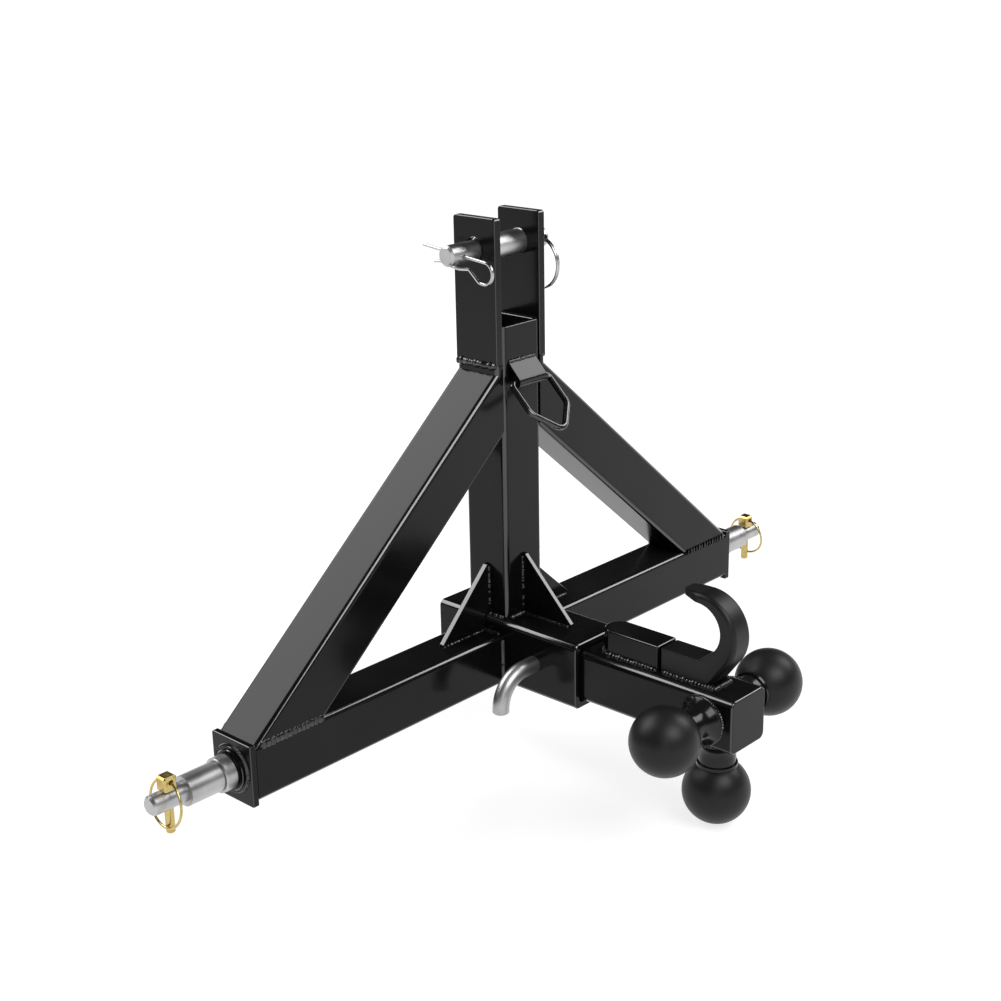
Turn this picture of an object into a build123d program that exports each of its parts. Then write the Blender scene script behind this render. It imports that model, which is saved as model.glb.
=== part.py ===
import math
import os

from build123d import *

os.makedirs("parts", exist_ok=True)

# Origin: middle of the line through both lower link pins.
# X runs along the arms, -Y points to the tow hook, +Z is up. Millimetres.

# Square tube of the arms, mast and braces
tube = 50.8
tube_wall = 4.8
tube_round = 5.0
tube_inner_round = 1.0
half_tube = tube / 2

# Spread of the lower link shoulders, over the end plates' outer faces
shoulder_spread = 683.0
plate_thickness = 6.4
plate_height = 57.0
plate_drop = 0.7
plate_corner = 2.0
plate_edge_round = 1.2

# Receiver, shank and the clearance between them
shank = 50.8
shank_wall = 6.35
shank_round = 6.5
shank_inner_round = 2.0
shank_end_round = 2.0
shank_clearance = 0.6
shank_reach = 285.8
shank_seat = 51.0
cap_thickness = 6.35
receiver_size = 65.0
receiver_round = 6.0
receiver_front = 116.0
receiver_rear = 57.9
receiver_lift = 0.5
receiver_rim_chamfer = 0.8

# Mast, ears and braces, their heights set from the top link pin's hole
top_pin_height = 394.2
mast_below_pin = 69.9
ear_thickness = 8.0
ear_above_pin = 28.8
ear_overlap = 35.1
ear_corner = 3.0
ear_edge_round = 1.0
mast_rim_round = 0.9
brace_step = 7.74
brace_toe_gap = 0.2

# Gussets
gusset_thickness = 4.6
side_gusset_length = 64.6
left_gusset_height = 65.6
right_gusset_height = 58.6
front_gusset_reach = 59.4
front_gusset_rise = 60.5
gusset_nose = 3.0
gusset_edge_chamfer = 0.5

# Lower link pins, measured outward from the end plate
boss_foot_radius = 21.2
boss_foot = 1.8
boss_radius = 18.3
boss_step = 3.6
boss_neck_radius = 16.2
boss_length = 5.5
boss_chamfer = 0.6
collar_radius = 15.6
collar_length = 12.0
collar_edge = 1.0
undercut = 0.8
lower_pin_radius = 13.25
lower_pin_length = 34.0
pin_nose_radius = 8.9
pin_nose_length = 34.0
pin_root_depth = 18.0
pin_chamfer = 2.2

# Linch pins and their snap rings
linch_from_step = 15.0
linch_radius = 3.95
linch_tip = 31.0
linch_head_width = 12.6
linch_head_height = 12.4
linch_head_chamfer = 1.6
linch_hole_clearance = 0.4
head_seat_gap = 0.1
linch_ring_radius = 20.8
linch_ring_wire = 1.15
linch_ring_hole = 2.3
linch_ring_pivot = 7.4
ring_end_gap = 5.0
ring_rest_gap = 0.3

# Top link pin lying in the ears' wider holes, its sleeve, spring clip and pull ring
top_pin_radius = 9.5
top_pin_hole_clearance = 1.5
top_pin_rest_gap = 0.05
top_pin_left = 70.2
top_pin_right = 59.0
sleeve_radius = 11.6
sleeve_bore_clearance = 0.02
sleeve_end_gap = 0.3
clip_place = 56.0
clip_tilt = 6.1
clip_wire = 1.5
clip_hole_clearance = 0.4
clip_loop_radius = 9.7
clip_neck_reach = 7.0
clip_tip_share = 0.3
clip_leg_beyond = 31.3
clip_loop_beyond = 25.2
pull_ring_place = 52.0
pull_ring_radius = 24.5
pull_ring_wire = 1.1
pull_ring_turn_gap = 0.3
pull_ring_hole = 3.5

# Hitch pin through the receiver, bent into a handle, and its clip
hitch_pin_radius = 7.95
hitch_pin_setback = 50.9
hitch_pin_clearance = 0.35
handle_bend = 30.0
handle_start = 16.8
handle_straight = 3.2
hitch_pin_beyond = 25.5
hitch_clip_place = 17.5
hitch_clip_leg = 12.0
hitch_clip_loop = 17.0
hitch_clip_loop_radius = 6.5

# D-ring and the strap curled round its hinge bar
ring_wire = 2.9
ring_hinge_y = 34.0
ring_hinge_drop = 50.6
ring_half_width = 25.0
ring_side = 34.0
ring_length = 59.4
ring_hinge_corner = 6.0
ring_shoulder_corner = 11.0
ring_tip_corner = 9.0
ring_lean = 44.0
strap_width = 36.0
strap_thickness = 2.7
strap_slope = 46.8
strap_bore_clearance = 0.4

# Stop block and tow hook on top of the shank
hook_lift = 24.0
hook_width = 25.4
block_width = 28.0
block_front_setback = 89.2
block_receiver_gap = 12.6
block_rear_bulge = 11.2
block_round = 1.6
hook_gap = 2.6
hook_shank_height = 23.0
throat_setback = 48.8
throat_z = 52.0
throat_radius = 24.5
hook_back_setback = 46.8
hook_back_z = 47.0
hook_back_radius = 38.5
hook_tip_setback = 66.0
hook_tip_low = 78.0
hook_tip_high = 85.0
hook_tip_width = 12.0
hook_taper_length = 17.0
hook_heel_setback = 33.8
hook_back_round = 4.5
throat_round = 1.5
flat_edge_round = 1.2

# Tow balls, all three alike, each turned in one piece with its neck
ball_radius = 31.05
ball_reach = 78.0
ball_setback = 31.8
neck_radius = 17.0
neck_base_radius = 22.5
neck_base_thickness = 3.0
neck_ring_radius = 18.6
neck_ring_width = 3.0

# Places worked out from the sizes above
half_spread = shoulder_spread / 2
plate_inner = half_spread - plate_thickness
receiver_z = (receiver_size - tube) / 2 + receiver_lift
half_receiver = receiver_size / 2
receiver_top = receiver_z + half_receiver
receiver_bore = shank + 2 * shank_clearance
shank_top = receiver_z + shank / 2
hitch_pin_y = -(receiver_front - hitch_pin_setback)
mast_top = top_pin_height - mast_below_pin
ear_bottom = mast_top - ear_overlap
ear_top = top_pin_height + ear_above_pin
top_pin_bore = top_pin_radius + top_pin_hole_clearance
top_pin_z = top_pin_height - top_pin_hole_clearance + top_pin_rest_gap
ring_hinge_z = mast_top - ring_hinge_drop
throat_y = shank_reach - throat_setback
hook_back_y = shank_reach - hook_back_setback
hook_tip_y = shank_reach - hook_tip_setback
hook_heel_y = shank_reach - hook_heel_setback
block_front = shank_reach - block_front_setback
block_back = receiver_front + block_receiver_gap
hitch_pin_bore = hitch_pin_radius + hitch_pin_clearance
ball_y = -(shank_reach - ball_setback)


def save(node, solid):
    export_step(solid, f"parts/{node}.step")


def along_x(start, y=0.0, z=0.0):
    """Plane whose normal is +X, with its own X along +Y and its own Y along +Z."""
    return Plane(origin=(start, y, z), x_dir=(0, 1, 0), z_dir=(1, 0, 0))


def along_y(start, x=0.0, z=0.0):
    """Plane whose normal is +Y, with its own X along -X and its own Y along +Z."""
    return Plane(origin=(x, start, z), x_dir=(-1, 0, 0), z_dir=(0, 1, 0))


def mirrored(solid):
    return mirror(solid, about=Plane.YZ)


def square_tube(size, wall, outer_round, inner_round, length):
    hollow = size - 2 * wall
    ring = RectangleRounded(size, size, outer_round) - RectangleRounded(hollow, hollow, inner_round)
    return extrude(ring, length)


def rod(radius, start, end):
    """Round rod between two points."""
    axis = Vector(*end) - Vector(*start)
    return extrude(Plane(origin=start, z_dir=axis) * Circle(radius), axis.length)


def wire_form(radius, path):
    """Round wire along a path, with its section square to the path's start."""
    return sweep(Plane(origin=path @ 0, z_dir=path % 0) * Circle(radius), path=path)


def turned(points):
    """Solid turned about +X from points given as (distance along the axis, radius)."""
    outline = make_face(Polyline(*[(along, radius) for along, radius in points], close=True))
    return revolve(outline, Axis.X)


# Arms, each from the receiver's side to its end plate
arm_length = plate_inner - half_receiver
arm = along_x(half_receiver) * square_tube(tube, tube_wall, tube_round, tube_inner_round, arm_length)
save("right_arm", arm)
save("left_arm", mirrored(arm))

# Receiver, open at both ends, bored crosswise for the hitch pin
receiver_length = receiver_front + receiver_rear
receiver_wall = (receiver_size - receiver_bore) / 2
receiver_corner = min(receiver_round, shank_inner_round + receiver_wall)
receiver = along_y(-receiver_front, z=receiver_z) * square_tube(
    receiver_size, receiver_wall, receiver_corner, shank_inner_round, receiver_length
)
cross_hole = rod(
    hitch_pin_bore, (-receiver_size, hitch_pin_y, receiver_z), (receiver_size, hitch_pin_y, receiver_z)
)
receiver -= cross_hole
rim_chamfer = min(receiver_rim_chamfer, receiver_wall / 3)
receiver = chamfer(receiver.edges().group_by(Axis.Y)[0], rim_chamfer)
save("receiver_tube", receiver)

# Mast, standing on the receiver, open at the top
mast = Pos(0, 0, receiver_top) * square_tube(
    tube, tube_wall, tube_round, tube_inner_round, mast_top - receiver_top
)
mast = fillet(mast.edges().group_by(Axis.Z)[-1], mast_rim_round)
save("mast_tube", mast)

# Ears of the top link clevis, welded to the mast's sides
ear_height = ear_top - ear_bottom
ear = along_x(half_tube, z=(ear_top + ear_bottom) / 2) * extrude(Rectangle(tube, ear_height), ear_thickness)
ear = fillet(ear.edges().filter_by(Axis.X).group_by(Axis.Z)[-1], ear_corner)
ear = fillet(ear.edges(), ear_edge_round)
ear_pin_hole = rod(top_pin_bore, (0, 0, top_pin_height), (tube, 0, top_pin_height))
ear -= ear_pin_hole
save("right_ear", ear)
save("left_ear", mirrored(ear))

# Braces, mitred onto the arm's top and the mast's side, with an upright top end under the ear
brace_toe = plate_inner - brace_toe_gap
brace_outer = half_tube + ear_thickness
brace_shoulder = ear_bottom - brace_step
brace_slope = (brace_shoulder - half_tube) / (brace_toe - brace_outer)
brace_angle = math.atan(brace_slope)
brace_section = tube / math.sin(brace_angle)
brace_foot = brace_toe - brace_section
brace_head = half_tube + (brace_foot - half_tube) * brace_slope
brace_outline = Polyline(
    (brace_toe, half_tube),
    (brace_outer, brace_shoulder),
    (brace_outer, ear_bottom),
    (half_tube, ear_bottom),
    (half_tube, brace_head),
    (brace_foot, half_tube),
    close=True,
)
brace_blank = extrude(Plane.XZ * make_face(brace_outline), half_tube, both=True)


def brace_long_edge(edge):
    """True for the long edges that carry the tube's corner radius."""
    middle = edge.center()
    on_side = abs(abs(middle.Y) - half_tube) < 0.01
    inner_line = abs(middle.Z - (brace_head + half_tube) / 2) < 0.5 and middle.X < (brace_foot + brace_outer)
    outer_line = abs(middle.Z - (brace_shoulder + half_tube) / 2) < 0.5 and edge.length > tube
    upright = abs(middle.X - brace_outer) < 0.01
    return on_side and edge.length > 1 and (inner_line or outer_line or upright)


brace_blank = fillet(brace_blank.edges().filter_by(brace_long_edge), tube_round)
hollow_size = tube - 2 * tube_wall
brace_direction = Vector(-math.cos(brace_angle), 0, math.sin(brace_angle))
brace_centre_foot = Vector((brace_toe + brace_foot) / 2, 0, half_tube)
hollow_plane = Plane(
    origin=brace_centre_foot - brace_direction * tube, x_dir=(0, 1, 0), z_dir=brace_direction
)
hollow_bar = extrude(
    hollow_plane * RectangleRounded(hollow_size, hollow_size, tube_inner_round), shoulder_spread
)
brace = brace_blank - hollow_bar
save("right_brace", brace)
save("left_brace", mirrored(brace))

# End plates, flush with the arm front and back and standing proud above and below
plate_blank = along_x(plate_inner, z=-plate_drop) * extrude(
    RectangleRounded(tube, plate_height, plate_corner), plate_thickness
)
plate_faces = plate_blank.edges().group_by(Axis.X)
plate_blank = fillet(plate_faces[0] + plate_faces[-1], plate_edge_round)
end_plate = plate_blank - rod(lower_pin_radius, (0, 0, 0), (shoulder_spread, 0, 0))
save("right_end_plate", end_plate)
save("left_end_plate", mirrored(end_plate))

# Side gussets, stepped over the receiver's top edge
side_gusset_reach = half_tube + side_gusset_length


def ease_slope(gusset):
    """Chamfer the long edges of a gusset's sloped face."""
    sloped = gusset.edges().filter_by(lambda edge: 0.05 < abs((edge % 0.5).Z) < 0.95)
    return chamfer(sloped, gusset_edge_chamfer)


def side_gusset(height):
    outline = Polyline(
        (half_tube, half_tube + height),
        (half_tube + gusset_nose, half_tube + height),
        (side_gusset_reach, half_tube + gusset_nose),
        (side_gusset_reach, half_tube),
        (half_receiver, half_tube),
        (half_receiver, receiver_top),
        (half_tube, receiver_top),
        close=True,
    )
    return ease_slope(extrude(Plane.XZ * make_face(outline), gusset_thickness / 2, both=True))


save("right_gusset", side_gusset(right_gusset_height))
save("left_gusset", mirrored(side_gusset(left_gusset_height)))

# Front gusset, from the mast's front face down to the receiver's top
front_gusset_outline = Polyline(
    (-half_tube, receiver_top),
    (-half_tube, receiver_top + front_gusset_rise),
    (-half_tube - gusset_nose, receiver_top + front_gusset_rise),
    (-half_tube - front_gusset_reach, receiver_top + gusset_nose),
    (-half_tube - front_gusset_reach, receiver_top),
    close=True,
)
front_gusset = extrude(Plane.YZ * make_face(front_gusset_outline), gusset_thickness / 2, both=True)
save("front_gusset", ease_slope(front_gusset))

# Lower link pins: black boss, plated collar, bearing length and stepped nose
boss = turned(
    [
        (half_spread, lower_pin_radius),
        (half_spread, boss_foot_radius),
        (half_spread + boss_foot - boss_chamfer, boss_foot_radius),
        (half_spread + boss_foot, boss_foot_radius - boss_chamfer),
        (half_spread + boss_foot, boss_radius),
        (half_spread + boss_step - boss_chamfer, boss_radius),
        (half_spread + boss_step, boss_radius - boss_chamfer),
        (half_spread + boss_step, boss_neck_radius),
        (half_spread + boss_length, boss_neck_radius),
        (half_spread + boss_length, lower_pin_radius),
    ]
)
save("right_pin_boss", boss)
save("left_pin_boss", mirrored(boss))

collar_start = half_spread + boss_length
collar_end = collar_start + collar_length
pin_step = collar_end + lower_pin_length
pin_end = pin_step + pin_nose_length
linch_x = pin_step + linch_from_step
lower_pin = turned(
    [
        (plate_inner - pin_root_depth, 0),
        (plate_inner - pin_root_depth, lower_pin_radius),
        (collar_start, lower_pin_radius),
        (collar_start, collar_radius - collar_edge),
        (collar_start + collar_edge, collar_radius),
        (collar_end - collar_edge, collar_radius),
        (collar_end, collar_radius - collar_edge),
        (collar_end, lower_pin_radius - undercut),
        (collar_end + undercut, lower_pin_radius - undercut),
        (collar_end + undercut, lower_pin_radius),
        (pin_step, lower_pin_radius),
        (pin_step, pin_nose_radius),
        (pin_end - pin_chamfer, pin_nose_radius),
        (pin_end, pin_nose_radius - pin_chamfer),
        (pin_end, 0),
    ]
)
linch_hole = linch_radius + linch_hole_clearance
lower_pin -= rod(linch_hole, (linch_x, 0, -collar_radius), (linch_x, 0, collar_radius))
save("right_lower_pin", lower_pin)
save("left_lower_pin", mirrored(lower_pin))

# Linch pins, hanging by their heads in the lower pins' cross holes
head_bottom = pin_nose_radius + head_seat_gap
head_middle = head_bottom + linch_head_height / 2
linch_head = Pos(linch_x, 0, head_middle) * Box(linch_head_width, linch_head_width, linch_head_height)
linch_head = chamfer(
    linch_head.edges().filter_by(Axis.Z) + linch_head.edges().group_by(Axis.Z)[-1], linch_head_chamfer
)
pivot_z = head_bottom + linch_ring_pivot
head_reach = linch_head_width
linch_head -= rod(linch_ring_hole, (linch_x, -head_reach, pivot_z), (linch_x, head_reach, pivot_z))
linch_shaft = rod(linch_radius, (linch_x, 0, -linch_tip), (linch_x, 0, head_bottom))
linch_shaft = chamfer(linch_shaft.edges().group_by(Axis.Z)[0], linch_radius / 4)
linch_pin = linch_head + linch_shaft
save("right_linch_pin", linch_pin)
save("left_linch_pin", mirrored(linch_pin))

# Snap rings, each with its two ends inside the head's cross hole, resting on the pin's outer side
half_head = linch_head_width / 2
ring_sag = linch_ring_radius - math.sqrt(linch_ring_radius**2 - half_head**2)
ring_centre_drop = linch_ring_radius - ring_sag / 2
ring_foot_drop = ring_centre_drop + linch_ring_radius
ring_tilt = math.degrees(math.asin((linch_radius + linch_ring_wire + ring_rest_gap) / ring_foot_drop))
ring_plane = along_x(linch_x, z=pivot_z)
ring_arc = CenterArc((0, -ring_centre_drop), linch_ring_radius, 90 + ring_end_gap, 360 - 2 * ring_end_gap)
linch_ring = wire_form(linch_ring_wire, ring_plane * ring_arc)
linch_ring = linch_ring.rotate(Axis((linch_x, 0, pivot_z), (0, 1, 0)), -ring_tilt)
save("right_linch_ring", linch_ring)
save("left_linch_ring", mirrored(linch_ring))

# Top link pin through both ears, with one cross hole for the clip and one for the pull ring
top_pin = Pos(0, 0, top_pin_z) * turned(
    [
        (-top_pin_left, 0),
        (-top_pin_left, top_pin_radius - pin_chamfer),
        (-top_pin_left + pin_chamfer, top_pin_radius),
        (top_pin_right - pin_chamfer, top_pin_radius),
        (top_pin_right, top_pin_radius - pin_chamfer),
        (top_pin_right, 0),
    ]
)
tilt = math.radians(clip_tilt)
clip_plane = Plane(
    origin=(-clip_place, 0, top_pin_z), x_dir=(0, math.cos(tilt), math.sin(tilt)), z_dir=(1, 0, 0)
)
clip_hole = clip_wire + clip_hole_clearance
hole_depth = 2 * top_pin_radius
top_pin -= clip_plane * Rot(0, 90, 0) * Cylinder(clip_hole, 2 * hole_depth)
top_pin -= rod(
    pull_ring_hole,
    (pull_ring_place, -hole_depth, top_pin_z),
    (pull_ring_place, hole_depth, top_pin_z),
)
save("top_link_pin", top_pin)

# Spacer sleeve on the top link pin, between the ears
sleeve_half = half_tube - sleeve_end_gap
sleeve_bore = top_pin_radius + sleeve_bore_clearance
sleeve = Pos(0, 0, top_pin_z) * turned(
    [
        (-sleeve_half, sleeve_bore),
        (-sleeve_half, sleeve_radius),
        (sleeve_half, sleeve_radius),
        (sleeve_half, sleeve_bore),
    ]
)
save("top_pin_sleeve", sleeve)


def spring_clip(pin_radius, wire, loop_radius, leg_beyond, loop_beyond):
    """Wire clip drawn on XY: straight leg along X through the pin, then a loop and a bowed leg below."""
    bow = pin_radius + wire + clip_hole_clearance
    loop_start = -(pin_radius + loop_beyond)
    path = FilletPolyline(
        (pin_radius + leg_beyond, 0),
        (loop_start - loop_radius, 0),
        (loop_start - loop_radius, -2 * loop_radius),
        (loop_start + loop_radius / 2, -2 * loop_radius),
        (-pin_radius - clip_neck_reach, -bow + wire),
        (-pin_radius / 2, -bow - wire / 2),
        (pin_radius / 2, -bow - wire / 2),
        (pin_radius + clip_neck_reach, -bow + wire),
        (pin_radius + clip_neck_reach + leg_beyond * clip_tip_share, -bow - wire / 4),
        radius=[
            loop_radius * 0.98,
            loop_radius * 0.98,
            loop_radius * 0.7,
            2 * wire,
            2 * wire,
            2 * wire,
            2 * wire,
        ],
    )
    return wire_form(wire, path)


clip = spring_clip(top_pin_radius, clip_wire, clip_loop_radius, clip_leg_beyond, clip_loop_beyond)
save("top_pin_clip", clip_plane * clip)

# Pull ring of two turns of wire, hanging in the pin's other cross hole
pull_sag = pull_ring_radius - math.sqrt(pull_ring_radius**2 - top_pin_radius**2)
pull_centre = top_pin_z + pull_sag / 2 - pull_ring_radius
turn_pitch = 2 * pull_ring_wire + pull_ring_turn_gap
two_turns = Pos(0, 0, -turn_pitch) * Helix(turn_pitch, 2 * turn_pitch, pull_ring_radius)
pull_ring_plane = Plane(
    origin=(pull_ring_place, 0, pull_centre), x_dir=(0, 0, -1), z_dir=(1, 0, 0)
)
pull_ring = wire_form(pull_ring_wire, pull_ring_plane * two_turns)
save("pull_ring", pull_ring)

# Strap curled round the D-ring's hinge bar and welded to the mast's front face
curl_bore = ring_wire + strap_bore_clearance
curl_radius = curl_bore + strap_thickness
slope = math.radians(strap_slope)
strap_run = (ring_hinge_y - half_tube) / math.cos(slope) + strap_thickness
curl_centre = Vector(-ring_hinge_y, ring_hinge_z)
run_direction = Vector(math.cos(slope), math.sin(slope))
out_direction = Vector(-math.sin(slope), math.cos(slope))
front_top = curl_centre + out_direction * curl_radius
front_low = curl_centre + out_direction * curl_bore
strap_end = 4 * strap_run
strap_outline = Polyline(
    (front_low.X, front_low.Y),
    (front_top.X, front_top.Y),
    (front_top.X + run_direction.X * strap_end, front_top.Y + run_direction.Y * strap_end),
    (front_low.X + run_direction.X * strap_end, front_low.Y + run_direction.Y * strap_end),
    close=True,
)
wall_side = Pos(-half_tube - shoulder_spread / 2, ring_hinge_z) * Rectangle(shoulder_spread, shoulder_spread)
strap_face = make_face(strap_outline) & wall_side
curl_face = Pos(-ring_hinge_y, ring_hinge_z) * (Circle(curl_radius) - Circle(curl_bore))
bracket_face = Plane.YZ * (strap_face + curl_face)
ring_bracket = extrude(bracket_face, strap_width / 2, both=True)
save("ring_bracket", ring_bracket)

# D-ring, leaning forward from its hinge bar
ring_path = FilletPolyline(
    (ring_half_width, 0),
    (ring_half_width, -ring_side),
    (0, -ring_length),
    (-ring_half_width, -ring_side),
    (-ring_half_width, 0),
    close=True,
    radius=[ring_hinge_corner, ring_shoulder_corner, ring_tip_corner, ring_shoulder_corner, ring_hinge_corner],
)
d_ring_plane = Plane(
    origin=(0, -ring_hinge_y, ring_hinge_z),
    x_dir=(1, 0, 0),
    z_dir=(0, -math.sin(math.radians(ring_lean)), math.cos(math.radians(ring_lean))),
)
d_ring = wire_form(ring_wire, d_ring_plane * ring_path)
save("d_ring", d_ring)

# Hitch pin through receiver and shank, bent down into a handle on the left
handle_corner = -(half_receiver + handle_start + handle_bend)
handle_foot = receiver_z - handle_bend - handle_straight
hitch_pin_tip = half_receiver + hitch_pin_beyond
hitch_path = Plane.XZ * FilletPolyline(
    (hitch_pin_tip, receiver_z),
    (handle_corner, receiver_z),
    (handle_corner, handle_foot),
    radius=handle_bend,
)
hitch_pin = Pos(0, hitch_pin_y, 0) * wire_form(hitch_pin_radius, hitch_path)
hitch_pin = chamfer(hitch_pin.edges().group_by(Axis.X)[-1], pin_chamfer)
hitch_pin = chamfer(hitch_pin.edges().group_by(Axis.Z)[0], pin_chamfer / 2)
hitch_clip_x = half_receiver + hitch_clip_place
hitch_clip_plane = Plane(origin=(hitch_clip_x, hitch_pin_y, receiver_z), x_dir=(0, 0, 1), z_dir=(1, 0, 0))
hitch_pin -= hitch_clip_plane * Rot(0, 90, 0) * Cylinder(clip_hole, 2 * hole_depth)
save("hitch_pin", hitch_pin)
hitch_clip = spring_clip(
    hitch_pin_radius, clip_wire, hitch_clip_loop_radius, hitch_clip_leg, hitch_clip_loop
)
save("hitch_pin_clip", hitch_clip_plane * hitch_clip)

# Shank of the ball mount, a tube pinned in the receiver and closed by a cap at its outer end
shank_inner_end = hitch_pin_y + shank_seat
shank_cap_face = -(shank_reach - cap_thickness)
shank_tube = along_y(shank_cap_face, z=receiver_z) * square_tube(
    shank, shank_wall, shank_round, shank_inner_round, shank_inner_end - shank_cap_face
)
shank_tube -= cross_hole
save("shank_tube", shank_tube)
cap = along_y(-shank_reach, z=receiver_z) * extrude(
    RectangleRounded(shank, shank, shank_round), cap_thickness
)
cap = fillet(cap.edges().group_by(Axis.Y)[0], shank_end_round)
save("shank_end_cap", cap)

# Stop block behind the hook, rounded at its rear end
half_block = block_width / 2
block_rear = -(block_back + block_rear_bulge)
block_plan = [
    Line((-half_block, -block_front), (half_block, -block_front)),
    Line((half_block, -block_front), (half_block, block_rear)),
    ThreePointArc((half_block, block_rear), (0, -block_back), (-half_block, block_rear)),
    Line((-half_block, block_rear), (-half_block, -block_front)),
]
block_blank = Pos(0, 0, shank_top) * extrude(make_face(Wire(block_plan)), hook_lift)
block_edges = block_blank.edges().filter_by(Axis.Z) + block_blank.edges().group_by(Axis.Z)[-1]
stop_block = fillet(block_edges, block_round)
save("stop_block", stop_block)


def on_circle(y, z, radius, degrees):
    angle = math.radians(degrees)
    return (-y + radius * math.cos(angle), shank_top + z + radius * math.sin(angle))


# Tow hook: flat shank, round back, open throat and a nose that thins to its tip
nose_under = on_circle(throat_y, throat_z, throat_radius, 97)
throat_middle = on_circle(throat_y, throat_z, throat_radius, 170)
throat_low = on_circle(throat_y, throat_z, throat_radius, 238)
back_top = on_circle(hook_back_y, hook_back_z, hook_back_radius, 90)
back_middle = on_circle(hook_back_y, hook_back_z, hook_back_radius, 160)
back_low = on_circle(hook_back_y, hook_back_z, hook_back_radius, 220)
hook_rear = -(block_front + hook_gap)
hook_top = shank_top + hook_shank_height
hook_outline = [
    Line((-hook_tip_y, shank_top + hook_tip_low), nose_under),
    ThreePointArc(nose_under, throat_middle, throat_low),
    Line(throat_low, (-hook_back_y, hook_top)),
    Line((-hook_back_y, hook_top), (hook_rear, hook_top)),
    Line((hook_rear, hook_top), (hook_rear, shank_top)),
    Line((hook_rear, shank_top), (-hook_heel_y, shank_top)),
    Line((-hook_heel_y, shank_top), back_low),
    ThreePointArc(back_low, back_middle, back_top),
    Line(back_top, (-hook_tip_y, shank_top + hook_tip_high)),
    Line((-hook_tip_y, shank_top + hook_tip_high), (-hook_tip_y, shank_top + hook_tip_low)),
]
hook_face = make_face(Wire(hook_outline))
tow_hook = extrude(Plane.YZ * hook_face, hook_width / 2, both=True)


def arc_edges(solid, radius):
    return solid.edges().filter_by(
        lambda edge: edge.geom_type == GeomType.CIRCLE and abs(edge.radius - radius) < 0.01
    )


tow_hook = fillet(arc_edges(tow_hook, hook_back_radius), hook_back_round)
tow_hook = fillet(arc_edges(tow_hook, throat_radius), throat_round)
flat_edges = tow_hook.edges().filter_by(
    lambda edge: abs(abs(edge.center().X) - hook_width / 2) < 0.01
    and edge.center().Y > -throat_y
    and shank_top < edge.center().Z < hook_top + 0.1
    and edge.center().Z > shank_top + 1
)
tow_hook = fillet(flat_edges, flat_edge_round)
taper_start = -hook_tip_y - hook_taper_length
nose_side = Polyline(
    (hook_width / 2, taper_start),
    (hook_width, taper_start),
    (hook_width, -hook_tip_y),
    (hook_tip_width / 2, -hook_tip_y),
    close=True,
)
nose_cut = Pos(0, 0, hook_top) * extrude(make_face(nose_side), hook_back_z + hook_back_radius)
tow_hook -= nose_cut
tow_hook -= mirrored(nose_cut)
save("tow_hook", tow_hook)

# Tow balls, turned about +X from the shank's side face outward
half_shank = shank / 2
ball_root = ball_reach - math.sqrt(ball_radius**2 - neck_radius**2)
ring_start = ball_root - neck_ring_width
flange_end = half_shank + neck_base_thickness
flare_length = ring_start - flange_end
flare_start = (flange_end, neck_base_radius - 1)
flare_end = (flange_end + flare_length * 0.7, neck_radius)
flare_middle = (flange_end + flare_length * 0.25, neck_radius + (neck_base_radius - neck_radius) * 0.3)
ball_tip = (ball_reach + ball_radius, 0)
ball_flank = (ball_reach, ball_radius)
neck_outline = [
    Line((half_shank, 0), (half_shank, neck_base_radius)),
    Line((half_shank, neck_base_radius), (flange_end - 1, neck_base_radius)),
    Line((flange_end - 1, neck_base_radius), flare_start),
    ThreePointArc(flare_start, flare_middle, flare_end),
    Line(flare_end, (ring_start, neck_radius)),
    Line((ring_start, neck_radius), (ring_start, neck_ring_radius)),
    Line((ring_start, neck_ring_radius), (ball_root, neck_ring_radius)),
    Line((ball_root, neck_ring_radius), (ball_root, neck_radius)),
    ThreePointArc((ball_root, neck_radius), ball_flank, ball_tip),
    Line(ball_tip, (half_shank, 0)),
]
ball = revolve(make_face(Wire(neck_outline)), Axis.X)
save("ball_right", Pos(0, ball_y, receiver_z) * ball)
save("ball_left", Pos(0, ball_y, receiver_z) * mirrored(ball))
save("ball_bottom", Pos(0, ball_y, receiver_z) * Rot(0, 90, 0) * ball)
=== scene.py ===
import math
import random
import bmesh
import bpy
from mathutils import Matrix, Vector


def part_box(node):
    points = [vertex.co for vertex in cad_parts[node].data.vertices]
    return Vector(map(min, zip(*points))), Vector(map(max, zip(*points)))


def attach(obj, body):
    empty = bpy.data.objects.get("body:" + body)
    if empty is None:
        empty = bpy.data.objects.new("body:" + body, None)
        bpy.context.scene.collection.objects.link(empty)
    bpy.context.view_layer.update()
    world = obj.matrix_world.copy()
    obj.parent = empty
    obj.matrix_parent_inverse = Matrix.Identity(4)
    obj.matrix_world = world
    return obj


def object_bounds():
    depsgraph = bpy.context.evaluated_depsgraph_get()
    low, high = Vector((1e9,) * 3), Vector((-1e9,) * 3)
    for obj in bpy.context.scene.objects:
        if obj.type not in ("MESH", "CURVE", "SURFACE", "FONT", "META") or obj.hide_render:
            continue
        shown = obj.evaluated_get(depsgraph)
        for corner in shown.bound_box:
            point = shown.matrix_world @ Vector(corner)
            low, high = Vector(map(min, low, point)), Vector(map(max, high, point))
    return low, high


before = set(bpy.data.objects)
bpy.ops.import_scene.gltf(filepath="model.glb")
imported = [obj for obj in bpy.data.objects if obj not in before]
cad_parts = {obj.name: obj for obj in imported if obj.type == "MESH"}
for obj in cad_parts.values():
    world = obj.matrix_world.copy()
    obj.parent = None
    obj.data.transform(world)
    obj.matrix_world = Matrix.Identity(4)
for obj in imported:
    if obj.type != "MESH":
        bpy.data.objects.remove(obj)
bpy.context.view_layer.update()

print("frame loaded")

mm = 0.001


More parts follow.
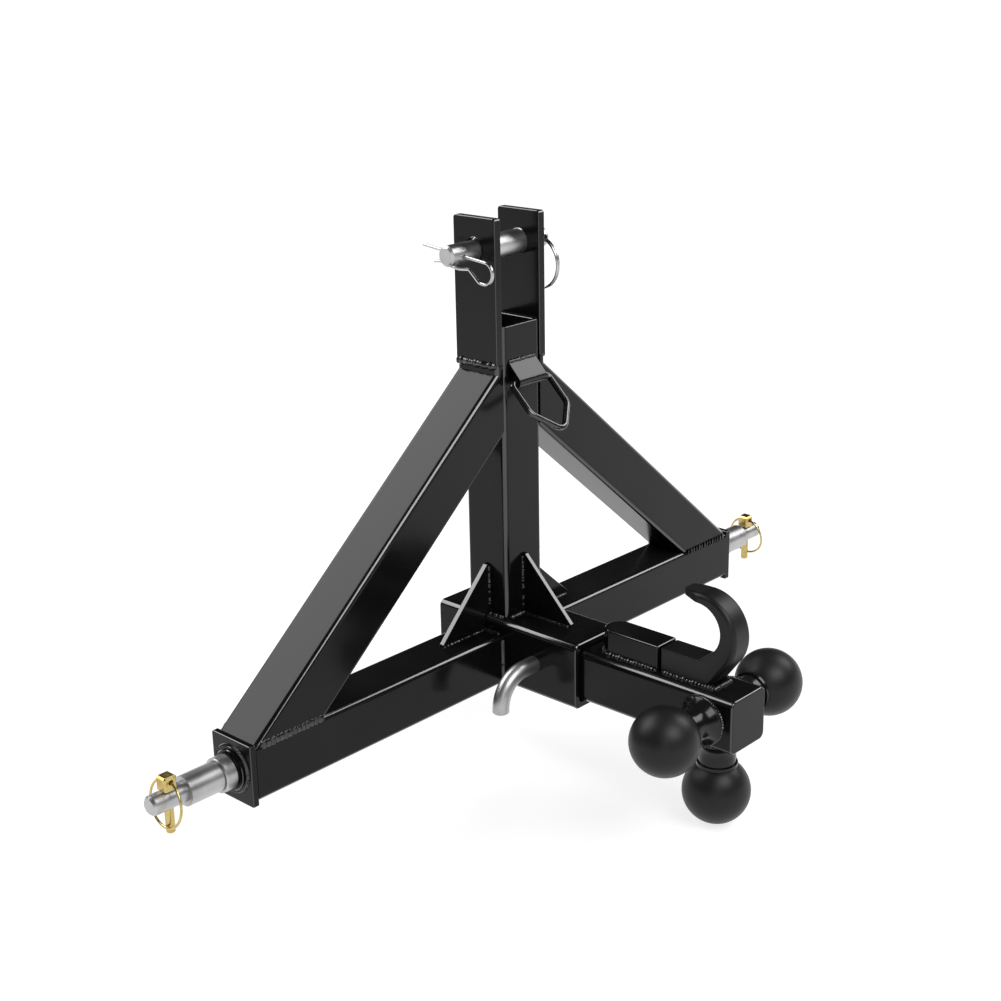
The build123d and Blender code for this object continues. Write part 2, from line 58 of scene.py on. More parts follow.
def newMaterial(name):
    material = bpy.data.materials.new(name)
    material.use_nodes = True
    tree = material.node_tree
    shader = tree.nodes["Principled BSDF"]
    return material, tree, shader


def finishPiece(bm, name, material, body, smooth=True):
    mesh = bpy.data.meshes.new(name)
    bmesh.ops.recalc_face_normals(bm, faces=bm.faces)
    bm.to_mesh(mesh)
    bm.free()
    for face in mesh.polygons:
        face.use_smooth = smooth
    piece = bpy.data.objects.new(name, mesh)
    bpy.context.scene.collection.objects.link(piece)
    mesh.materials.append(material)
    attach(piece, body)
    return piece


def groupSocket(group, name, kind, direction, value=None):
    socket = group.interface.new_socket(name=name, in_out=direction, socket_type=kind)
    if value is not None:
        socket.default_value = value
    return socket


# Even grain used by every finish: a height for the bump and a slow cloud for colour and roughness
def buildGrainGroup():
    group = bpy.data.node_groups.new("finishGrain", "ShaderNodeTree")
    groupSocket(group, "Grain Size", "NodeSocketFloat", "INPUT", 600.0)
    groupSocket(group, "Cloud Size", "NodeSocketFloat", "INPUT", 12.0)
    groupSocket(group, "Roughness Low", "NodeSocketFloat", "INPUT", 0.15)
    groupSocket(group, "Roughness High", "NodeSocketFloat", "INPUT", 0.25)
    groupSocket(group, "Height", "NodeSocketFloat", "OUTPUT")
    groupSocket(group, "Cloud", "NodeSocketFloat", "OUTPUT")
    groupSocket(group, "Roughness", "NodeSocketFloat", "OUTPUT")
    nodes, links = group.nodes, group.links
    gate = nodes.new("NodeGroupInput")
    out = nodes.new("NodeGroupOutput")
    place = nodes.new("ShaderNodeTexCoord")
    grain = nodes.new("ShaderNodeTexNoise")
    grain.inputs["Detail"].default_value = 2.0
    cloud = nodes.new("ShaderNodeTexNoise")
    cloud.inputs["Detail"].default_value = 3.0
    spread = nodes.new("ShaderNodeMapRange")
    spread.inputs["From Min"].default_value = 0.3
    spread.inputs["From Max"].default_value = 0.7
    links.new(place.outputs["Object"], grain.inputs["Vector"])
    links.new(place.outputs["Object"], cloud.inputs["Vector"])
    links.new(gate.outputs["Grain Size"], grain.inputs["Scale"])
    links.new(gate.outputs["Cloud Size"], cloud.inputs["Scale"])
    links.new(cloud.outputs["Fac"], spread.inputs["Value"])
    links.new(gate.outputs["Roughness Low"], spread.inputs["To Min"])
    links.new(gate.outputs["Roughness High"], spread.inputs["To Max"])
    links.new(grain.outputs["Fac"], out.inputs["Height"])
    links.new(cloud.outputs["Fac"], out.inputs["Cloud"])
    links.new(spread.outputs["Result"], out.inputs["Roughness"])
    return group


grainGroup = buildGrainGroup()


def addGrain(tree, grainSize, cloudSize, low, high):
    grain = tree.nodes.new("ShaderNodeGroup")
    grain.node_tree = grainGroup
    grain.inputs["Grain Size"].default_value = grainSize
    grain.inputs["Cloud Size"].default_value = cloudSize
    grain.inputs["Roughness Low"].default_value = low
    grain.inputs["Roughness High"].default_value = high
    return grain


def addBump(tree, shader, heightSocket, strength, distance):
    bump = tree.nodes.new("ShaderNodeBump")
    bump.inputs["Strength"].default_value = strength
    bump.inputs["Distance"].default_value = distance
    tree.links.new(heightSocket, bump.inputs["Height"])
    tree.links.new(bump.outputs["Normal"], shader.inputs["Normal"])
    return bump


def addColours(tree, factorSocket, stops):
    ramp = tree.nodes.new("ShaderNodeValToRGB")
    band = ramp.color_ramp
    band.elements[0].position, band.elements[0].color = stops[0][0], (*stops[0][1], 1.0)
    band.elements[1].position, band.elements[1].color = stops[-1][0], (*stops[-1][1], 1.0)
    for place, colour in stops[1:-1]:
        band.elements.new(place).color = (*colour, 1.0)
    tree.links.new(factorSocket, ramp.inputs["Fac"])
    return ramp


# Mask from the normal in object space: 0 on flat faces, 1 on rounded edges, where the coat runs thick
def buildEdgeGroup():
    group = bpy.data.node_groups.new("edgeMask", "ShaderNodeTree")
    groupSocket(group, "Across", "NodeSocketFloat", "OUTPUT")
    groupSocket(group, "Any Way", "NodeSocketFloat", "OUTPUT")
    nodes, links = group.nodes, group.links
    out = nodes.new("NodeGroupOutput")
    place = nodes.new("ShaderNodeTexCoord")
    split = nodes.new("ShaderNodeSeparateXYZ")
    links.new(place.outputs["Normal"], split.inputs[0])
    sizes = []
    for axis in ("X", "Y", "Z"):
        size = nodes.new("ShaderNodeMath")
        size.operation = "ABSOLUTE"
        links.new(split.outputs[axis], size.inputs[0])
        sizes.append(size.outputs[0])
    larger = nodes.new("ShaderNodeMath")
    larger.operation = "MAXIMUM"
    largest = nodes.new("ShaderNodeMath")
    largest.operation = "MAXIMUM"
    links.new(sizes[0], larger.inputs[0])
    links.new(sizes[1], larger.inputs[1])
    links.new(larger.outputs[0], largest.inputs[0])
    links.new(sizes[2], largest.inputs[1])
    leaves = nodes.new("ShaderNodeMapRange")
    leaves.inputs["From Min"].default_value = 0.97
    leaves.inputs["From Max"].default_value = 0.88
    links.new(largest.outputs[0], leaves.inputs["Value"])
    links.new(leaves.outputs["Result"], out.inputs["Any Way"])
    rises = nodes.new("ShaderNodeMapRange")
    rises.inputs["From Min"].default_value = 0.2
    rises.inputs["From Max"].default_value = 0.45
    falls = nodes.new("ShaderNodeMapRange")
    falls.inputs["From Min"].default_value = 0.97
    falls.inputs["From Max"].default_value = 0.88
    both = nodes.new("ShaderNodeMath")
    both.operation = "MULTIPLY"
    links.new(sizes[1], rises.inputs["Value"])
    links.new(sizes[1], falls.inputs["Value"])
    links.new(rises.outputs["Result"], both.inputs[0])
    links.new(falls.outputs["Result"], both.inputs[1])
    links.new(both.outputs[0], out.inputs["Across"])
    return group


edgeGroup = buildEdgeGroup()


def addEdgeCoat(tree, shader, output, values):
    edge = tree.nodes.new("ShaderNodeGroup")
    edge.node_tree = edgeGroup
    tree.links.new(edge.outputs[output], shader.inputs["Coat Weight"])
    shader.inputs["Coat IOR"].default_value = values["edgeIor"]
    shader.inputs["Coat Roughness"].default_value = values["roughness"][0]


glossCoat = {
    "dark": (0.0035, 0.0035, 0.0037),
    "light": (0.006, 0.006, 0.0062),
    "roughness": (0.13, 0.19),
    "ior": 1.27,
    "bracketIor": 1.38,
    "cloudSize": 14.0,
    "peelSize": 420.0,
    "peelStrength": 0.05,
    "edgeIor": 1.6,
}


def makeGlossBlack(name, edges, ior=glossCoat["ior"]):
    material, tree, shader = newMaterial(name)
    grain = addGrain(tree, glossCoat["peelSize"], glossCoat["cloudSize"], *glossCoat["roughness"])
    stops = [(0.35, glossCoat["dark"]), (0.7, glossCoat["light"])]
    colours = addColours(tree, grain.outputs["Cloud"], stops)
    tree.links.new(colours.outputs["Color"], shader.inputs["Base Color"])
    tree.links.new(grain.outputs["Roughness"], shader.inputs["Roughness"])
    shader.inputs["IOR"].default_value = ior
    if edges:
        addEdgeCoat(tree, shader, edges, glossCoat)
    addBump(tree, shader, grain.outputs["Height"], glossCoat["peelStrength"], 0.0004)
    return material


satinCoat = {
    "dark": (0.005, 0.005, 0.0052),
    "light": (0.009, 0.009, 0.0092),
    "roughness": (0.38, 0.45),
    "ior": 1.36,
    "cloudSize": 22.0,
    "grainSize": 900.0,
    "grainStrength": 0.1,
    "neckRoughness": 0.17,
    "ballCentres": ((-0.078, -0.254, 0.0076), (0.078, -0.254, 0.0076), (0.0, -0.254, -0.0704)),
    "ballEdge": 0.0312,
    "neckEnd": 0.062,
}


def makeSatinBlack():
    material, tree, shader = newMaterial("satinBlackCoat")
    grain = addGrain(tree, satinCoat["grainSize"], satinCoat["cloudSize"], *satinCoat["roughness"])
    stops = [(0.35, satinCoat["dark"]), (0.7, satinCoat["light"])]
    colours = addColours(tree, grain.outputs["Cloud"], stops)
    tree.links.new(colours.outputs["Color"], shader.inputs["Base Color"])
    place = tree.nodes.new("ShaderNodeTexCoord")
    nearest = None
    for centre in satinCoat["ballCentres"]:
        away = tree.nodes.new("ShaderNodeVectorMath")
        away.operation = "DISTANCE"
        away.inputs[1].default_value = centre
        tree.links.new(place.outputs["Object"], away.inputs[0])
        if nearest is None:
            nearest = away.outputs["Value"]
            continue
        closer = tree.nodes.new("ShaderNodeMath")
        closer.operation = "MINIMUM"
        tree.links.new(nearest, closer.inputs[0])
        tree.links.new(away.outputs["Value"], closer.inputs[1])
        nearest = closer.outputs[0]
    offBall = tree.nodes.new("ShaderNodeMath")
    offBall.operation = "GREATER_THAN"
    offBall.inputs[1].default_value = satinCoat["ballEdge"]
    nearNeck = tree.nodes.new("ShaderNodeMath")
    nearNeck.operation = "LESS_THAN"
    nearNeck.inputs[1].default_value = satinCoat["neckEnd"]
    onNeck = tree.nodes.new("ShaderNodeMath")
    onNeck.operation = "MULTIPLY"
    blend = tree.nodes.new("ShaderNodeMix")
    tree.links.new(nearest, offBall.inputs[0])
    tree.links.new(nearest, nearNeck.inputs[0])
    tree.links.new(offBall.outputs[0], onNeck.inputs[0])
    tree.links.new(nearNeck.outputs[0], onNeck.inputs[1])
    tree.links.new(onNeck.outputs[0], blend.inputs["Factor"])
    tree.links.new(grain.outputs["Roughness"], blend.inputs["A"])
    blend.inputs["B"].default_value = satinCoat["neckRoughness"]
    tree.links.new(blend.outputs["Result"], shader.inputs["Roughness"])
    shader.inputs["IOR"].default_value = satinCoat["ior"]
    addBump(tree, shader, grain.outputs["Height"], satinCoat["grainStrength"], 0.0003)
    return material


beadCoat = {
    "colour": (0.006, 0.006, 0.0062),
    "roughness": (0.14, 0.24),
    "ior": 1.6,
    "grainSize": 700.0,
    "cloudSize": 60.0,
}


def makeBeadBlack():
    material, tree, shader = newMaterial("weldBlackCoat")
    grain = addGrain(tree, beadCoat["grainSize"], beadCoat["cloudSize"], *beadCoat["roughness"])
    shader.inputs["Base Color"].default_value = (*beadCoat["colour"], 1.0)
    tree.links.new(grain.outputs["Roughness"], shader.inputs["Roughness"])
    shader.inputs["IOR"].default_value = beadCoat["ior"]
    addBump(tree, shader, grain.outputs["Height"], 0.2, 0.0006)
    return material


zincPlate = {
    "dull": (0.38, 0.38, 0.385),
    "bright": (0.52, 0.52, 0.525),
    "roughness": (0.34, 0.42),
    "metallic": 1.0,
    "scratchStretch": (900.0, 60.0, 60.0),
}


def makeZinc(name, values):
    material, tree, shader = newMaterial(name)
    grain = addGrain(tree, 1100.0, 40.0, *values["roughness"])
    colours = addColours(tree, grain.outputs["Cloud"], [(0.3, values["dull"]), (0.7, values["bright"])])
    tree.links.new(colours.outputs["Color"], shader.inputs["Base Color"])
    tree.links.new(grain.outputs["Roughness"], shader.inputs["Roughness"])
    shader.inputs["Metallic"].default_value = values["metallic"]
    place = tree.nodes.new("ShaderNodeTexCoord")
    stretch = tree.nodes.new("ShaderNodeMapping")
    stretch.inputs["Scale"].default_value = values["scratchStretch"]
    scratch = tree.nodes.new("ShaderNodeTexNoise")
    scratch.inputs["Scale"].default_value = 1.0
    tree.links.new(place.outputs["Object"], stretch.inputs["Vector"])
    tree.links.new(stretch.outputs["Vector"], scratch.inputs["Vector"])
    addBump(tree, shader, scratch.outputs["Fac"], 0.15, 0.0002)
    return material


springWire = {
    "dull": (0.34, 0.34, 0.345),
    "bright": (0.52, 0.52, 0.525),
    "roughness": (0.12, 0.2),
    "metallic": 1.0,
    "scratchStretch": (200.0, 200.0, 200.0),
}

goldPlate = {
    "stops": [
        (0.3, (0.42, 0.29, 0.09)),
        (0.5, (0.56, 0.43, 0.16)),
        (0.62, (0.52, 0.43, 0.19)),
        (0.75, (0.56, 0.34, 0.2)),
    ],
    "roughness": (0.2, 0.32),
}


def makeGold():
    material, tree, shader = newMaterial("yellowZincPlate")
    grain = addGrain(tree, 900.0, 90.0, *goldPlate["roughness"])
    colours = addColours(tree, grain.outputs["Cloud"], goldPlate["stops"])
    tree.links.new(colours.outputs["Color"], shader.inputs["Base Color"])
    tree.links.new(grain.outputs["Roughness"], shader.inputs["Roughness"])
    shader.inputs["Metallic"].default_value = 1.0
    addBump(tree, shader, grain.outputs["Height"], 0.1, 0.0002)
    return material


glossBlack = makeGlossBlack("glossBlackCoat", "Any Way")
slantBlack = makeGlossBlack("slantBlackCoat", "Across")
plainBlack = makeGlossBlack("plainBlackCoat", None, glossCoat["bracketIor"])
satinBlack = makeSatinBlack()
beadBlack = makeBeadBlack()
zinc = makeZinc("brightZincPlate", zincPlate)
wireZinc = makeZinc("springWirePlate", springWire)
gold = makeGold()

finishOfNode = {
    "left_arm": slantBlack,
    "right_arm": slantBlack,
    "left_brace": slantBlack,
    "right_brace": slantBlack,
    "ring_bracket": plainBlack,
    "tow_hook": satinBlack,
    "ball_left": satinBlack,
    "ball_right": satinBlack,
    "ball_bottom": satinBlack,
    "left_lower_pin": zinc,
    "right_lower_pin": zinc,
    "top_link_pin": zinc,
    "top_pin_sleeve": zinc,
    "hitch_pin": zinc,
    "top_pin_clip": wireZinc,
    "hitch_pin_clip": wireZinc,
    "pull_ring": wireZinc,
    "left_linch_pin": gold,
    "right_linch_pin": gold,
    "left_linch_ring": gold,
    "right_linch_ring": gold,
}

for name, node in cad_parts.items():
    finish = finishOfNode.get(name, glossBlack)
    node.data.materials.clear()
    node.data.materials.append(finish)
print("finishes assigned")

bead = {"ripple": 2.6 * mm, "steps": 5, "sides": 10, "wander": 0.12, "depth": 0.22}
coarseBead = {"ripple": 9.0 * mm, "steps": 9, "sides": 12, "wander": 0.16, "depth": 0.4}
barBead = {"ripple": 4.8 * mm, "steps": 7, "sides": 14, "wander": 0.05, "depth": 0.16}
smoothBead = {"ripple": 4.0 * mm, "steps": 4, "sides": 12, "wander": 0.03, "depth": 0.02}


def frameAt(point, along, outward):
    forward = along.normalized()
    up = (outward - outward.dot(forward) * forward).normalized()
    side = up.cross(forward)
    turn = Matrix((side, up, forward)).transposed().to_4x4()
    return Matrix.Translation(point) @ turn


# Lays a rippled bead along stations of (point, direction, outward), adding it to bm
def layBead(bm, stations, width, height, seed, kind=bead):
    draw = random.Random(seed)
    last = len(stations) - 1
    ring = bmesh.ops.create_circle(bm, cap_ends=True, segments=kind["sides"], radius=1.0)["verts"]
    cap = ring[0].link_faces[0]
    place = Matrix.Identity(4)
    swing = 1.0
    for index, (point, along, outward) in enumerate(stations):
        step = index % kind["steps"]
        if step == 0:
            swing = 1.0 + draw.uniform(-kind["wander"], kind["wander"])
        wave = swing * (1.0 - kind["depth"] * (1.0 - step / (kind["steps"] - 1)) ** 1.5)
        if index in (0, last):
            wave *= 0.35
        shape = Matrix.Diagonal((width / 2 * wave, height * wave, 1.0, 1.0))
        target = frameAt(point, along, outward) @ shape
        if index:
            grown = bmesh.ops.extrude_face_region(bm, geom=[cap])
            ring = [item for item in grown["geom"] if isinstance(item, bmesh.types.BMVert)]
            cap = next(item for item in grown["geom"] if isinstance(item, bmesh.types.BMFace))
        bmesh.ops.transform(bm, matrix=target @ place.inverted(), verts=ring)
        place = target


def straightStations(start, end, outward, kind=bead):
    start, end, outward = Vector(start), Vector(end), Vector(outward)
    length = (end - start).length
    count = max(3, round(length / (kind["ripple"] / kind["steps"])))
    along = (end - start) / length
    return [(start + along * length * i / count, along, outward) for i in range(count + 1)]


def ringStations(centre, axis, radius, outwardLean, startTurn=0.0, turnSize=360.0):
    centre, axis = Vector(centre), Vector(axis).normalized()
    helper = Vector((0, 0, 1)) if abs(axis.z) < 0.9 else Vector((0, 1, 0))
    first = axis.cross(helper).normalized()
    second = axis.cross(first)
    length = radius * math.radians(turnSize)
    count = max(12, round(length / (bead["ripple"] / bead["steps"])))
    stations = []
    for i in range(count + 1):
        angle = math.radians(startTurn + turnSize * i / count)
        radial = first * math.cos(angle) + second * math.sin(angle)
        along = second * math.cos(angle) - first * math.sin(angle)
        stations.append((centre + radial * radius, along, radial + axis * outwardLean))
    return stations


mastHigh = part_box("mast_tube")[1]
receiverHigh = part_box("receiver_tube")[1]
shankLow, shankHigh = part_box("shank_tube")
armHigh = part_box("right_arm")[1]
earLow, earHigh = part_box("right_ear")
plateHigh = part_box("right_end_plate")[1]
blockLow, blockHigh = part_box("stop_block")
hookLow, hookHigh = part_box("tow_hook")
bracketLow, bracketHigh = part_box("ring_bracket")
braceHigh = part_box("right_brace")[1]
halfTube = mastHigh.x

earBead = {"width": 8.0 * mm, "height": 3.0 * mm, "inset": 1.0 * mm}
bm = bmesh.new()
for side in (-1, 1):
    x = side * earHigh.x
    z = earLow.z
    reach = halfTube - earBead["inset"]
    stations = straightStations((x, -reach, z), (x, reach, z), (side, 0, 0), coarseBead)
    layBead(bm, stations, earBead["width"], earBead["height"], 11 + side, coarseBead)
finishPiece(bm, "earWelds", beadBlack, "hitch_frame")

footBead = {"width": 12.0 * mm, "height": 5.8 * mm, "depth": 4.2 * mm, "drop": 0.5 * mm}
bm = bmesh.new()
braceSlope = math.atan((braceHigh.z - halfTube) / (braceHigh.x - earHigh.x))
sectionFoot = 2 * halfTube / math.sin(braceSlope)
for side in (-1, 1):
    toe = side * (braceHigh.x - 6 * mm)
    heel = side * (braceHigh.x - sectionFoot + 2 * mm)
    for face in (-1, 1):
        y = face * (halfTube - footBead["depth"])
        z = armHigh.z - footBead["drop"]
        stations = straightStations((toe, y, z), (heel, y, z), (0, face, 0), barBead)
        layBead(bm, stations, footBead["width"], footBead["height"], 21 + side + 3 * face, barBead)
    stations = straightStations(
        (heel, -halfTube + 5 * mm, armHigh.z), (heel, halfTube - 5 * mm, armHigh.z), (-side, 0, 1)
    )
    layBead(bm, stations, 6 * mm, 2.4 * mm, 31 + side)
finishPiece(bm, "braceFootWelds", beadBlack, "hitch_frame")

mastBead = {"width": 6.0 * mm, "height": 2.4 * mm, "inset": 4.0 * mm}
bm = bmesh.new()
for side in (-1, 1):
    reach = halfTube - mastBead["inset"]
    z = receiverHigh.z
    stations = straightStations((-reach, side * halfTube, z), (reach, side * halfTube, z), (0, side, 1))
    layBead(bm, stations, mastBead["width"], mastBead["height"], 41 + side)
    stations = straightStations((side * halfTube, -reach, z), (side * halfTube, reach, z), (side, 0, 1))
    layBead(bm, stations, mastBead["width"], mastBead["height"], 44 + side)
finishPiece(bm, "mastFootWelds", beadBlack, "hitch_frame")

armBead = {"width": 6.0 * mm, "height": 2.2 * mm}
bm = bmesh.new()
for side in (-1, 1):
    x = side * receiverHigh.x
    reach = halfTube - 4 * mm
    for face in (-1, 1):
        stations = straightStations(
            (x, face * halfTube, -reach), (x, face * halfTube, reach), (side, face, 0), smoothBead
        )
        layBead(bm, stations, armBead["width"], armBead["height"], 51 + side + 3 * face, smoothBead)
        stations = straightStations(
            (x, -reach, face * halfTube), (x, reach, face * halfTube), (side, 0, face), smoothBead
        )
        layBead(bm, stations, armBead["width"], armBead["height"], 61 + side + 3 * face, smoothBead)
finishPiece(bm, "armWelds", beadBlack, "hitch_frame")

gussetBead = {"width": 4.4 * mm, "height": 1.6 * mm, "endGap": 2.0 * mm, "cornerGap": 3.0 * mm}
bm = bmesh.new()
gussetLow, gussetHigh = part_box("left_gusset")
halfPlate = (gussetHigh.y - gussetLow.y) / 2
for name, side in (("left_gusset", -1), ("right_gusset", 1)):
    low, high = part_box(name)
    for face in (-1, 1):
        y = face * halfPlate
        foot = (side * halfTube, y, receiverHigh.z + gussetBead["endGap"])
        top = (side * halfTube, y, high.z - gussetBead["endGap"])
        stations = straightStations(foot, top, (side, face, 0), smoothBead)
        layBead(bm, stations, gussetBead["width"], gussetBead["height"], 71 + side + 3 * face, smoothBead)
        inner = (side * (receiverHigh.x + gussetBead["cornerGap"]), y, armHigh.z)
        outer = (high.x if side > 0 else low.x, y, armHigh.z)
        stations = straightStations(inner, outer, (0, face, 1), smoothBead)
        layBead(bm, stations, gussetBead["width"], gussetBead["height"], 81 + side + 3 * face, smoothBead)
low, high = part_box("front_gusset")
for face in (-1, 1):
    x = face * halfPlate
    foot = (x, -halfTube, receiverHigh.z + gussetBead["cornerGap"])
    top = (x, -halfTube, high.z - gussetBead["endGap"])
    stations = straightStations(foot, top, (face, -1, 0), smoothBead)
    layBead(bm, stations, gussetBead["width"], gussetBead["height"], 91 + face, smoothBead)
    outer = (x, low.y + gussetBead["endGap"], receiverHigh.z)
    inner = (x, -halfTube - gussetBead["cornerGap"], receiverHigh.z)
    stations = straightStations(outer, inner, (face, 0, 1), smoothBead)
    layBead(bm, stations, gussetBead["width"], gussetBead["height"], 95 + face, smoothBead)
finishPiece(bm, "gussetWelds", beadBlack, "hitch_frame")

hookBead = {"width": 7.0 * mm, "height": 2.8 * mm, "rearBulge": 11.2 * mm}
roughBead = {"ripple": 3.4 * mm, "steps": 4, "sides": 10, "wander": 0.3, "depth": 0.4}
blockRear = blockHigh.y - hookBead["rearBulge"]
bm = bmesh.new()
shankTop = blockLow.z
heelY = hookLow.y + 20 * mm
for side in (-1, 1):
    x = side * blockHigh.x
    stations = straightStations(
        (x, blockLow.y + 1 * mm, shankTop), (x, blockRear, shankTop), (side, 0, 1), roughBead
    )
    layBead(bm, stations, hookBead["width"], hookBead["height"], 101 + side, roughBead)
    x = side * hookHigh.x
    stations = straightStations(
        (x, heelY, shankTop), (x, hookHigh.y - 1 * mm, shankTop), (side, 0, 1), roughBead
    )
    layBead(bm, stations, hookBead["width"], hookBead["height"], 105 + side, roughBead)
stations = straightStations((-hookHigh.x, heelY, shankTop), (hookHigh.x, heelY, shankTop), (0, -1, 1))
layBead(bm, stations, hookBead["width"], hookBead["height"], 109)
arcRadius = (blockHigh.x ** 2 + hookBead["rearBulge"] ** 2) / (2 * hookBead["rearBulge"])
sweepHalf = math.degrees(math.asin(blockHigh.x / arcRadius))
stations = []
for index in range(41):
    angle = math.radians(-sweepHalf + 2 * sweepHalf * index / 40)
    radial = Vector((math.sin(angle), math.cos(angle), 0))
    centre = Vector((0, blockHigh.y - arcRadius, shankTop))
    forward = Vector((radial.y, -radial.x, 0))
    outward = radial + Vector((0, 0, 1))
    stations.append((centre + radial * arcRadius, forward, outward))
layBead(bm, stations, hookBead["width"], hookBead["height"], 107, roughBead)
finishPiece(bm, "hookWelds", beadBlack, "hitch_frame")

neckBead = {"width": 4.5 * mm, "height": 1.7 * mm, "radius": 22.0 * mm}
bm = bmesh.new()
ballLow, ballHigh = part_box("ball_left")
ballY = (ballLow.y + ballHigh.y) / 2
ballZ = (ballLow.z + ballHigh.z) / 2
for side in (-1, 1):
    stations = ringStations((side * shankHigh.x, ballY, ballZ), (side, 0, 0), neckBead["radius"], 1.0)
    layBead(bm, stations, neckBead["width"], neckBead["height"], 111 + side)
stations = ringStations((0, ballY, shankLow.z), (0, 0, -1), neckBead["radius"], 1.0)
layBead(bm, stations, neckBead["width"], neckBead["height"], 115)
finishPiece(bm, "neckWelds", beadBlack, "hitch_frame")

bossBead = {"width": 4.0 * mm, "height": 1.5 * mm}
bm = bmesh.new()
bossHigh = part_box("right_pin_boss")[1]
for side in (-1, 1):
    stations = ringStations((side * plateHigh.x, 0, 0), (side, 0, 0), bossHigh.y, 1.0)
    layBead(bm, stations, bossBead["width"], bossBead["height"], 121 + side)
finishPiece(bm, "bossWelds", beadBlack, "hitch_frame")

bracketBead = {"width": 4.5 * mm, "height": 1.8 * mm}
bm = bmesh.new()
z = bracketHigh.z
stations = straightStations((bracketLow.x, -halfTube, z), (bracketHigh.x, -halfTube, z), (0, -1, 1))
layBead(bm, stations, bracketBead["width"], bracketBead["height"], 131)
finishPiece(bm, "bracketWeld", beadBlack, "hitch_frame")
print("welds laid")

studio = {
    "floorDrop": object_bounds()[0].z,
    "floorSize": 60.0,
    "floorColour": (0.35, 0.35, 0.35, 1.0),
    "liftNear": 0.78,
    "liftFar": 1.0,
    "nearEdge": 0.3,
    "farEdge": 1.5,
    "dark": 0.03,
}

bm = bmesh.new()
bmesh.ops.create_grid(bm, x_segments=1, y_segments=1, size=studio["floorSize"])
bmesh.ops.translate(bm, vec=(0, 0, studio["floorDrop"]), verts=bm.verts)
floorMesh = bpy.data.meshes.new("floor")
bm.to_mesh(floorMesh)
bm.free()
floor = bpy.data.objects.new("floor", floorMesh)
bpy.context.scene.collection.objects.link(floor)


def seenRays(tree):
    path = tree.nodes.new("ShaderNodeLightPath")
    first = tree.nodes.new("ShaderNodeMath")
    first.operation = "MAXIMUM"
    second = tree.nodes.new("ShaderNodeMath")
    second.operation = "MAXIMUM"
    tree.links.new(path.outputs["Is Camera Ray"], first.inputs[0])
    tree.links.new(path.outputs["Is Glossy Ray"], first.inputs[1])
    tree.links.new(first.outputs[0], second.inputs[0])
    tree.links.new(path.outputs["Is Transmission Ray"], second.inputs[1])
    return second.outputs[0]


floorPaint, tree, shader = newMaterial("paleFloor")
shader.inputs["Base Color"].default_value = studio["floorColour"]
shader.inputs["Roughness"].default_value = 0.9
shader.inputs["Specular IOR Level"].default_value = 0.0
seen = seenRays(tree)
place = tree.nodes.new("ShaderNodeTexCoord")
reach = tree.nodes.new("ShaderNodeVectorMath")
reach.operation = "LENGTH"
rise = tree.nodes.new("ShaderNodeMapRange")
rise.interpolation_type = "SMOOTHSTEP"
rise.inputs["From Min"].default_value = studio["nearEdge"]
rise.inputs["From Max"].default_value = studio["farEdge"]
rise.inputs["To Min"].default_value = studio["liftNear"]
rise.inputs["To Max"].default_value = studio["liftFar"]
lift = tree.nodes.new("ShaderNodeMath")
lift.operation = "MULTIPLY"
tree.links.new(place.outputs["Object"], reach.inputs[0])
tree.links.new(reach.outputs["Value"], rise.inputs["Value"])
tree.links.new(rise.outputs["Result"], lift.inputs[1])
tree.links.new(seen, lift.inputs[0])
shader.inputs["Emission Color"].default_value = (1, 1, 1, 1)
tree.links.new(lift.outputs[0], shader.inputs["Emission Strength"])
floorMesh.materials.append(floorPaint)

world = bpy.data.worlds.new("studioRoom")
bpy.context.scene.world = world
world.use_nodes = True
tree = world.node_tree
backdrop = tree.nodes["Background"]
path = tree.nodes.new("ShaderNodeLightPath")
place = tree.nodes.new("ShaderNodeTexCoord")
split = tree.nodes.new("ShaderNodeSeparateXYZ")
lowBand = tree.nodes.new("ShaderNodeMapRange")
lowBand.inputs["From Min"].default_value = 0.16
lowBand.inputs["From Max"].default_value = 0.04
glossy = tree.nodes.new("ShaderNodeMath")
glossy.operation = "MAXIMUM"
reflected = tree.nodes.new("ShaderNodeMath")
reflected.operation = "MULTIPLY"
white = tree.nodes.new("ShaderNodeMath")
white.operation = "MAXIMUM"
strength = tree.nodes.new("ShaderNodeMapRange")
strength.inputs["To Min"].default_value = studio["dark"]
strength.inputs["To Max"].default_value = 1.0
tree.links.new(place.outputs["Generated"], split.inputs[0])
tree.links.new(split.outputs["Z"], lowBand.inputs["Value"])
tree.links.new(path.outputs["Is Glossy Ray"], glossy.inputs[0])
tree.links.new(path.outputs["Is Transmission Ray"], glossy.inputs[1])
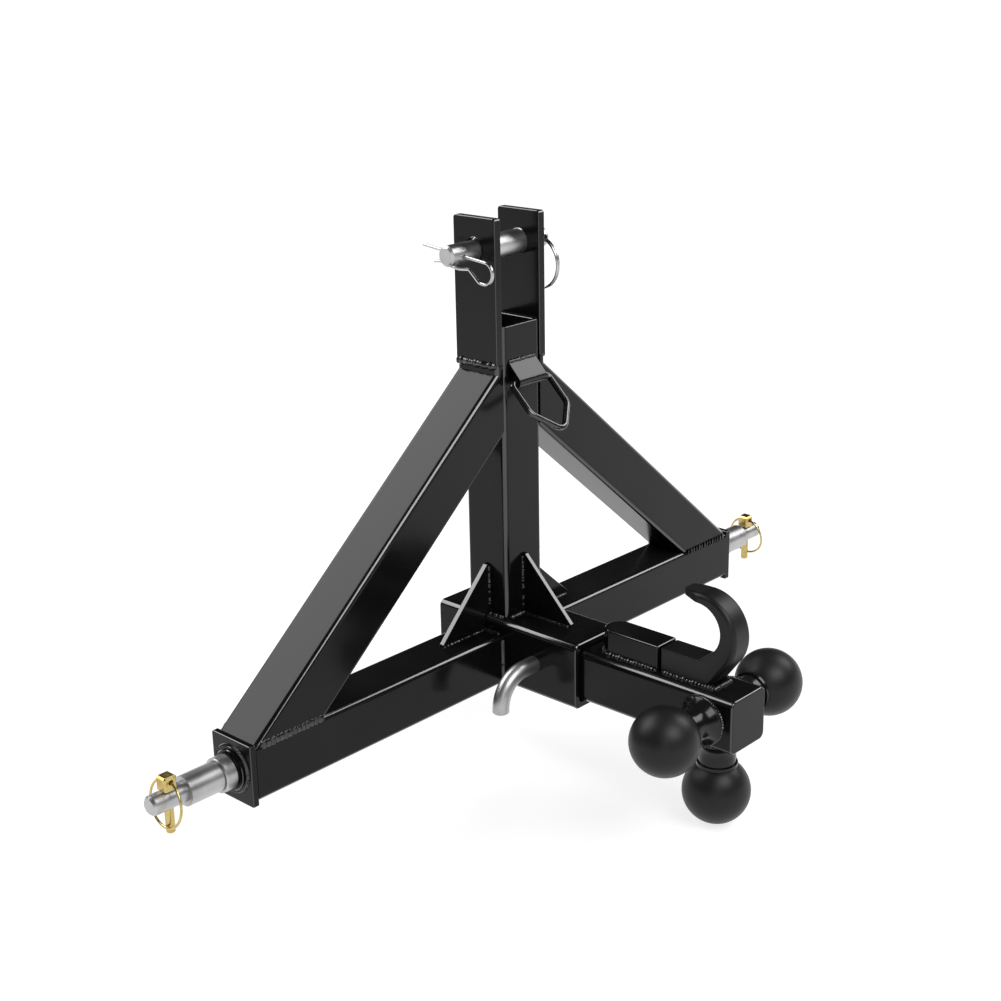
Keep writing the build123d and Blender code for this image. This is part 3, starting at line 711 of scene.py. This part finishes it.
tree.links.new(glossy.outputs[0], reflected.inputs[0])
tree.links.new(lowBand.outputs["Result"], reflected.inputs[1])
tree.links.new(reflected.outputs[0], white.inputs[0])
tree.links.new(path.outputs["Is Camera Ray"], white.inputs[1])
tree.links.new(white.outputs[0], strength.inputs["Value"])
tree.links.new(strength.outputs["Result"], backdrop.inputs["Strength"])
backdrop.inputs["Color"].default_value = (1, 1, 1, 1)

softBoxes = [
    {"name": "backBox", "place": (-0.55, 1.5, 1.6), "size": (1.8, 1.5), "radiance": 5.4},
    {"name": "frontBox", "place": (-0.35, -1.7, 1.75), "size": (1.5, 1.2), "radiance": 6.5},
    {"name": "rightBox", "place": (1.6, -0.85, 1.5), "size": (1.1, 1.1), "radiance": 5.6},
    {"name": "cameraBox", "place": (-1.75, -1.6, 0.95), "size": (0.45, 1.6), "radiance": 2.2},
]
aim = Vector((0, 0, 0.15))
for values in softBoxes:
    lamp = bpy.data.lights.new(values["name"], "AREA")
    lamp.shape = "RECTANGLE"
    lamp.size, lamp.size_y = values["size"]
    lamp.energy = values["radiance"] * math.pi * lamp.size * lamp.size_y
    holder = bpy.data.objects.new(values["name"], lamp)
    holder.location = values["place"]
    holder.rotation_euler = (aim - Vector(values["place"])).to_track_quat("-Z", "Y").to_euler()
    bpy.context.scene.collection.objects.link(holder)

camera = {
    "lens": 59.58,
    "eye": (-1.0961, -1.0169, 0.6638),
    "right": (0.6771, -0.7356, -0.0175),
    "up": (0.2512, 0.2088, 0.9451),
    "back": (-0.6916, -0.6444, 0.3262),
}
lens = bpy.data.cameras.new("photoView")
lens.lens = camera["lens"]
lens.sensor_width = 36.0
lens.clip_end = 200.0
viewer = bpy.data.objects.new("photoView", lens)
turn = Matrix((camera["right"], camera["up"], camera["back"])).transposed().to_4x4()
viewer.matrix_world = Matrix.Translation(camera["eye"]) @ turn
bpy.context.scene.collection.objects.link(viewer)
bpy.context.scene.camera = viewer
bpy.context.scene.view_settings.view_transform = "Standard"
print("studio ready")
